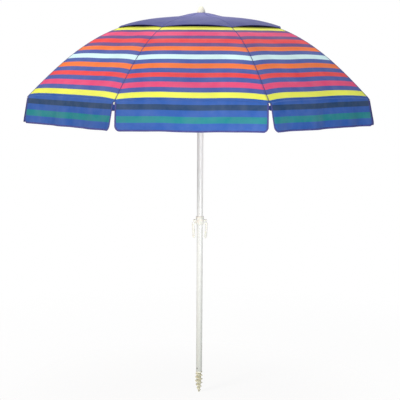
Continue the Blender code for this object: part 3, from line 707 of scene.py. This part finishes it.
def flap_point(n, side, down, off=0.0):
    """A point of the flap's inner face: side in metres across it, down from the hem."""
    share = side / FLAP_TOP_HALF
    rise = panel_rise(share * 0.985, TIP_R)
    hem_z = cloth_z(TIP_R) + rise + pucker(n, share * 0.985, TIP_R)
    hem_x = TIP_R * cos(HALF)
    loose = (down / FLAP_DROP) ** 1.2
    wave = 0.0055 * sin(9.5 * share + 1.9 * n) + 0.0030 * sin(17 * share - 1.1 * n)
    curl = 0.006 * smoothstep((abs(share) - 0.86) / 0.14) * loose
    turn = min(1.0, down / FLAP_BEND)
    outward = 0.55 * FLAP_BEND * (turn - turn * turn / 2)
    x = hem_x + outward + down * sin(FLAP_FLARE) + (wave * loose + curl) + off
    level = rise * down / FLAP_DROP
    z = hem_z - level - down * cos(FLAP_FLARE) + 0.35 * FLAP_BEND * (turn - turn * turn / 2)
    return turned_to(panel_angle(n), (x, side, z))


def flap(n):
    columns, rows = 61, 22
    points, uv = [], []
    for i in range(rows):
        down = FLAP_DROP * sin(pi / 2 * i / (rows - 1)) ** 1.15
        half = flap_half_width(down)
        for j in range(columns):
            side = half * (2 * j / (columns - 1) - 1)
            points.append(flap_point(n, side, down))
            rise = panel_rise(side / FLAP_TOP_HALF, TIP_R)
            uv.append((side + 2.0 * n, min(0.008, rise * (1 - down / FLAP_DROP) - down)))
    made = add_mesh(
        f"flap_{n}", points, grid_faces(rows, columns), "striped_cloth", uv
    )
    thicken(made, CLOTH_T)
    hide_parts(f"valance_{n}")
    outline = []
    lowest = FLAP_DROP - BINDING_INSET
    side_points = 26
    for i in range(side_points):
        down = BINDING_TOP + (lowest - BINDING_TOP) * sin(pi / 2 * i / (side_points - 1)) ** 1.15
        outline.append((-flap_half_width(down), down))
    bottom = flap_half_width(lowest)
    outline += [(x, lowest) for x in even(40, -bottom, bottom)[1:-1]]
    outline += [(-x, down) for x, down in reversed(outline[:side_points])]
    line = [flap_point(n, x * 0.995, down, CLOTH_T / 2) for x, down in outline]
    out = turned_to(panel_angle(n), (1, 0, 0.16))
    name = f"flap_binding_{n}"
    edge = sweep(name, line, [out] * len(line), BINDING_W, BINDING_H)
    for piece in (made, edge):
        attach(piece, f"valance_{n}")
        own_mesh(piece)


for number in range(1, RIBS + 1):
    panel(number)
    seam(number)
    cap_panel(number)
    cap_seam(number)
    flap(number)
crown_patch()


# Auger -------------------------------------------------------------------------------------------


THREAD_PITCH = 0.0205
THREAD_DEPTH = 0.0095
CORE_TIP_R = 0.0025
CORE_GROWTH = 0.0085  # how much wider the core is above its taper than at the tip
PLUG_R = 0.0144  # the plug that goes up into the tube


def auger():
    """The sand screw: a tapered core with a rolled thread that fades out at both ends."""
    plug_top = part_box("auger")[1].z
    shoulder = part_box("lower_pole")[0].z
    thread_top = shoulder - 0.0105
    around, steps = 64, 240
    rows = []
    for i in range(steps + 1):
        z = thread_top * (1 - i / steps)
        taper = min(1.0, (z / thread_top) / 0.55) ** 0.75
        core = CORE_TIP_R + CORE_GROWTH * taper
        fade = min(1.0, (thread_top + 0.002 - z) / 0.006) * min(1.0, z / 0.010)
        fin = THREAD_DEPTH * (0.35 + 0.65 * taper) * max(0.0, fade)
        rows.append((z, core, fin))
    points = []
    crests = []
    collar = (
        (PLUG_R - 0.001, plug_top),
        (PLUG_R, plug_top - 0.002),
        (PLUG_R, shoulder - 0.0003),
        (0.0169, shoulder - 0.0003),
        (0.0175, shoulder - 0.0009),
        (0.0175, shoulder - 0.0054),
        (0.0169, shoulder - 0.0060),
        (0.0134, shoulder - 0.0061),
        (0.0126, shoulder - 0.0070),
    )
    turns = even(around + 1, 0, 2 * pi)[:-1]
    for radius, z in collar:
        points += [(radius * cos(a), radius * sin(a), z) for a in turns]
        crests += [(1.0, 0.0)] * around
    for z, core, fin in rows:
        for j in range(around):
            a = 2 * pi * j / around
            phase = (z / THREAD_PITCH + a / (2 * pi)) % 1.0
            bump = max(0.0, 1 - abs(phase - 0.5) / 0.30)
            radius = core + fin * smoothstep(bump) ** 0.8
            points.append((radius * cos(a), radius * sin(a), z))
            # The crest share, kept in the cloth UV, sets where the material paints shade between
            # the thread's turns.
            crests.append((smoothstep(bump), 0.0))
    count = len(collar) + len(rows)
    faces = grid_faces(count, around, closed=True)
    faces.append(tuple(range(around)))
    last = (count - 1) * around
    faces.append(tuple(last + j for j in reversed(range(around))))
    made = add_mesh("sand_screw", points, faces, "shaded_screw_plastic", crests)
    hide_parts("auger")
    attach(made, "lower_pole")


auger()

# Stage, light and camera -------------------------------------------------------------------------


FLOOR_HALF = 14.0
FLOOR_Z = -0.001
FLOOR_GLOW = 0.88  # how much of the floor's own white the camera sees
FLOOR_FADE = (0.5, 2.6)  # distances from the foot between which the floor fades out

# name, place, aim, size, power, colour
LIGHTS = (
    ("key", (-4.0, -4.2, 4.6), (0, 0, 1.6), 2.4, 290, (1.0, 0.95, 0.89)),
    ("fill", (2.4, -5.6, 0.7), (0, 0, 1.0), 3.0, 95, (0.94, 0.97, 1.0)),
    ("pole", (0.5, -1.6, 0.9), (0, 0, 0.95), 0.9, 9, (1, 1, 1)),
    ("top", (0.3, 1.4, 5.0), (0, 0, 1.8), 2.4, 90, (1, 1, 1)),
)
WORLD_LIGHT = 0.50
WORLD_SEEN = 1.0

CAMERA_DISTANCE = 5.618
CAMERA_SIDE = radians(2.736)
CAMERA_HEIGHT = 1.844
CAMERA_PITCH = radians(-8.086)
CAMERA_LEAN = radians(0.327)
CAMERA_LENS = 96.96
CAMERA_SENSOR = 36


def stage():
    mesh = bpy.data.meshes.new("floor")
    corners = ((-1, -1), (1, -1), (1, 1), (-1, 1))
    points = [(x * FLOOR_HALF, y * FLOOR_HALF, FLOOR_Z) for x, y in corners]
    mesh.from_pydata(points, [], [(0, 1, 2, 3)])
    made = Tree("pale_floor")
    tree = made.tree
    made.put(made.shader, "Base Color", (0.80, 0.80, 0.80, 1))
    made.put(made.shader, "Roughness", 0.9)
    glow = made.add("ShaderNodeEmission", {"Color": (1, 1, 1, 1), "Strength": 1.0})
    seen = made.add("ShaderNodeLightPath").outputs["Is Camera Ray"]
    lift = made.math("MULTIPLY", seen, FLOOR_GLOW)
    pale = made.add("ShaderNodeMixShader", {0: lift, 1: made.shader.outputs[0]})
    tree.links.new(glow.outputs[0], pale.inputs[2])
    clear = made.add("ShaderNodeBsdfTransparent")
    length = made.add("ShaderNodeVectorMath", {0: made.place()}, operation="LENGTH")
    fade = {"Value": length.outputs["Value"], "From Min": FLOOR_FADE[0], "From Max": FLOOR_FADE[1]}
    far = made.add("ShaderNodeMapRange", fade).outputs[0]
    under = made.add("ShaderNodeNewGeometry").outputs["Backfacing"]
    gone = made.math("MAXIMUM", under, far)
    both = made.add("ShaderNodeMixShader", {0: gone, 1: pale.outputs[0], 2: clear.outputs[0]})
    tree.links.new(both.outputs[0], made.output.inputs["Surface"])
    mesh.materials.append(made.material)
    floor = bpy.data.objects.new("floor", mesh)
    bpy.context.scene.collection.objects.link(floor)


def area_light(name, place, aim, size, power, colour):
    data = bpy.data.lights.new(name, "AREA")
    data.shape = "DISK"
    data.size = size
    data.energy = power
    data.color = colour
    made = bpy.data.objects.new(name, data)
    made.location = place
    made.rotation_mode = "QUATERNION"
    made.rotation_quaternion = (Vector(aim) - Vector(place)).to_track_quat("-Z", "Y")
    made.visible_camera = False
    bpy.context.scene.collection.objects.link(made)


def light():
    world = bpy.data.worlds.new("soft_white")
    world.use_nodes = True
    tree = world.node_tree
    back = tree.nodes["Background"]
    back.inputs["Color"].default_value = (1, 1, 1, 1)
    path = tree.nodes.new("ShaderNodeLightPath")
    level = tree.nodes.new("ShaderNodeMapRange")
    level.inputs["To Min"].default_value = WORLD_LIGHT
    level.inputs["To Max"].default_value = WORLD_SEEN
    tree.links.new(path.outputs["Is Camera Ray"], level.inputs["Value"])
    tree.links.new(level.outputs[0], back.inputs["Strength"])
    bpy.context.scene.world = world
    for row in LIGHTS:
        area_light(*row)
    bpy.context.scene.view_settings.view_transform = "Standard"
    bpy.context.scene.view_settings.look = "None"


def camera():
    """Faces the pole's axis from a little to one side, pitched down and leaning slightly."""
    side, pitch, lean = CAMERA_SIDE, CAMERA_PITCH, CAMERA_LEAN
    data = bpy.data.cameras.new("camera")
    data.sensor_width = CAMERA_SENSOR
    data.lens = CAMERA_LENS
    ahead = Vector((-sin(side) * cos(pitch), cos(side) * cos(pitch), sin(pitch)))
    right = ahead.cross(Vector((0, 0, 1))).normalized()
    up = right.cross(ahead)
    right_leaned = right * cos(lean) + up * sin(lean)
    up_leaned = up * cos(lean) - right * sin(lean)
    basis = Matrix((right_leaned, up_leaned, -ahead)).transposed().to_4x4()
    made = bpy.data.objects.new("camera", data)
    place = (CAMERA_DISTANCE * sin(side), -CAMERA_DISTANCE * cos(side), CAMERA_HEIGHT)
    made.matrix_world = Matrix.Translation(place) @ basis
    bpy.context.scene.collection.objects.link(made)
    bpy.context.scene.camera = made


stage()
light()
camera()
